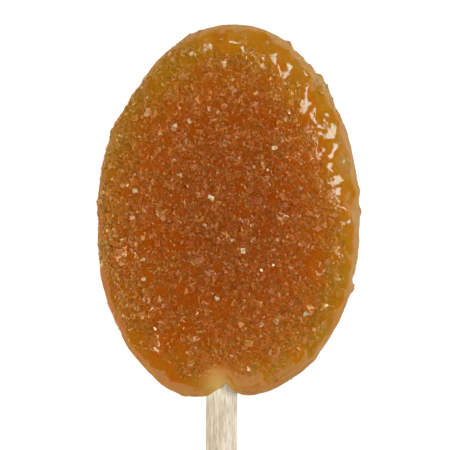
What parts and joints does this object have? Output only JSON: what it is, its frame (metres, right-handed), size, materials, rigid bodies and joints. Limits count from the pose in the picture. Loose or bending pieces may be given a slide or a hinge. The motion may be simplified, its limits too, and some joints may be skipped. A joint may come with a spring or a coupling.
{
  "type": "candy spoon lollipop",
  "caption": "Oval amber hard-candy lollipop crusted with coarse sugar on a round wooden stick, for licking or stirring into a hot drink.",
  "frame": {"origin": "middle of the candy's flat back, on the surface that it rests on", "axes": "+Y along the stick towards the candy's rounded top, +Z out of the sugared face, +X to the right when the face is looked at with the stick below"},
  "size_m": [0.0372, 0.1431, 0.0096],
  "materials": {
    "candy": "glossy translucent amber hard candy, red-brown where it is thick, under a crust of coarse sugar crystals",
    "stick_wood": "bare pale birch with fine grain"
  },
  "bodies": {
    "root": {"candy_head": "candy", "stick": "stick_wood"}
  },
  "joints": []
}
